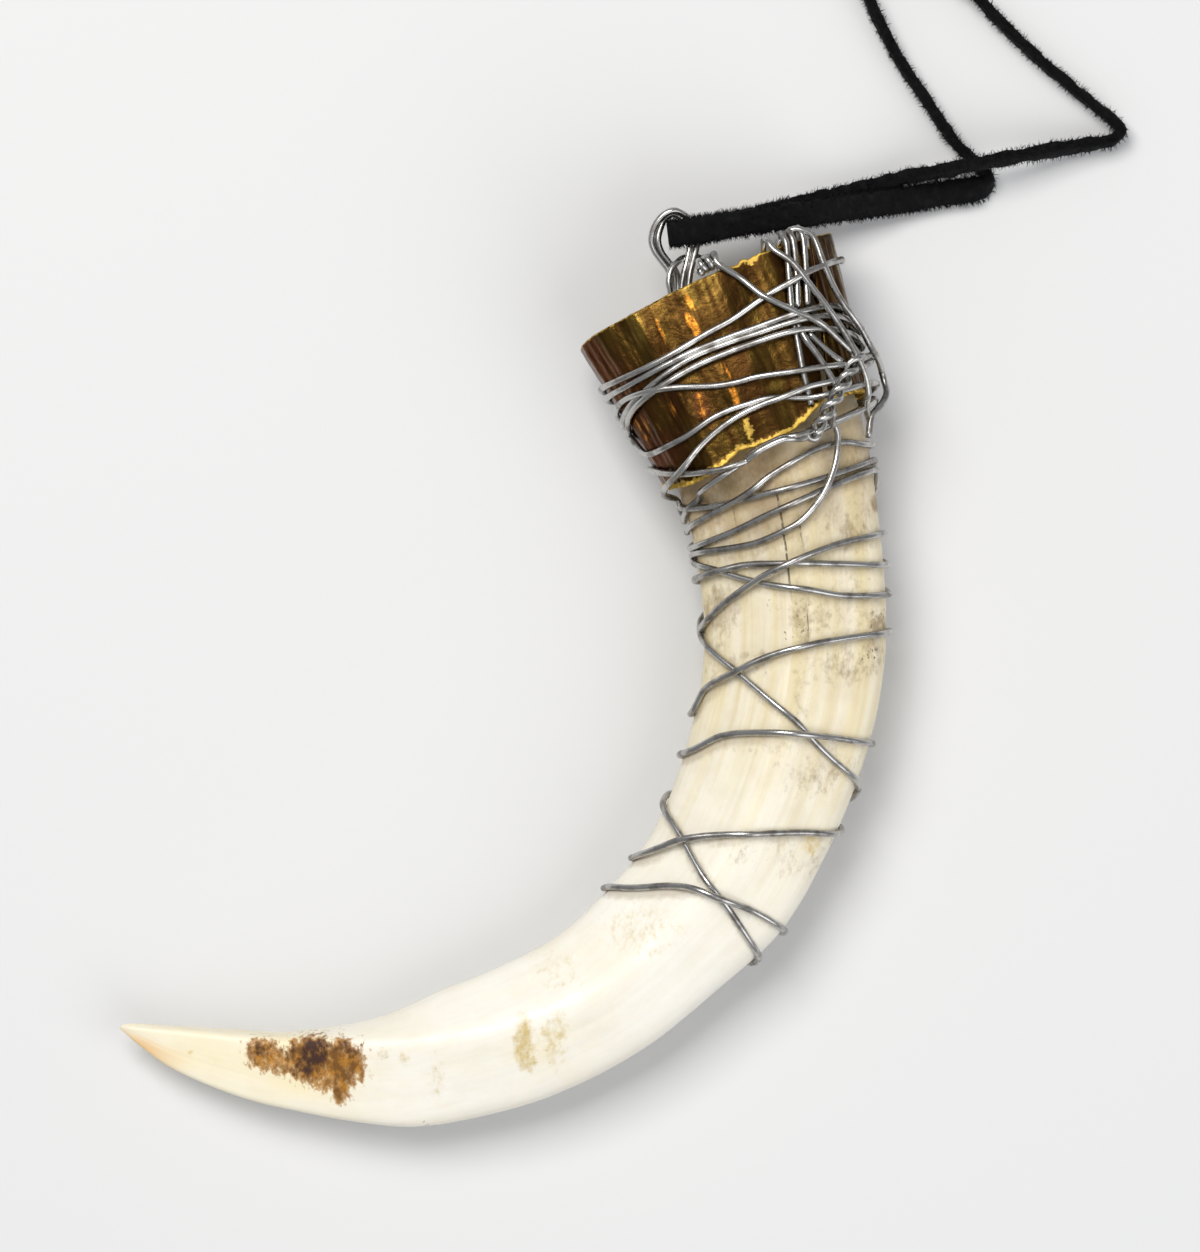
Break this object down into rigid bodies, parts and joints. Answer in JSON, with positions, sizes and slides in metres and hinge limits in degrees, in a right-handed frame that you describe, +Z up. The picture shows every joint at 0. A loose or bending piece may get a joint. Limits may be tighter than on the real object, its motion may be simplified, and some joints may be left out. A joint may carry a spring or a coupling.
{
  "type": "boar tusk pendant",
  "caption": "Boar tusk pendant: a curved tusk in a brass sheet sleeve, bound with steel wire, with a wire bail on a flat black suede lace.",
  "frame": {"origin": "on the surface under the middle of the pendant's box, the lace left out", "axes": "+Z up from the surface it lies on, +Y towards the sleeve's mouth and the lace, +X towards the tusk's outer curve"},
  "size_m": [0.122, 0.1902, 0.0234],
  "materials": {
    "ivory": "polished ivory with brown stains and hair cracks",
    "brass": "tarnished, creased sheet with bright torn edges",
    "wire": "dull drawn wire",
    "lace": "black suede"
  },
  "bodies": {
    "root": {"tusk": "ivory", "brass_sleeve": "brass", "binding_wire": "wire", "bail": "wire", "lace_near": "lace", "lace_far": "lace", "lace_coil": "lace", "lace_knot": "lace", "lace_tie": "lace"}
  },
  "joints": []
}
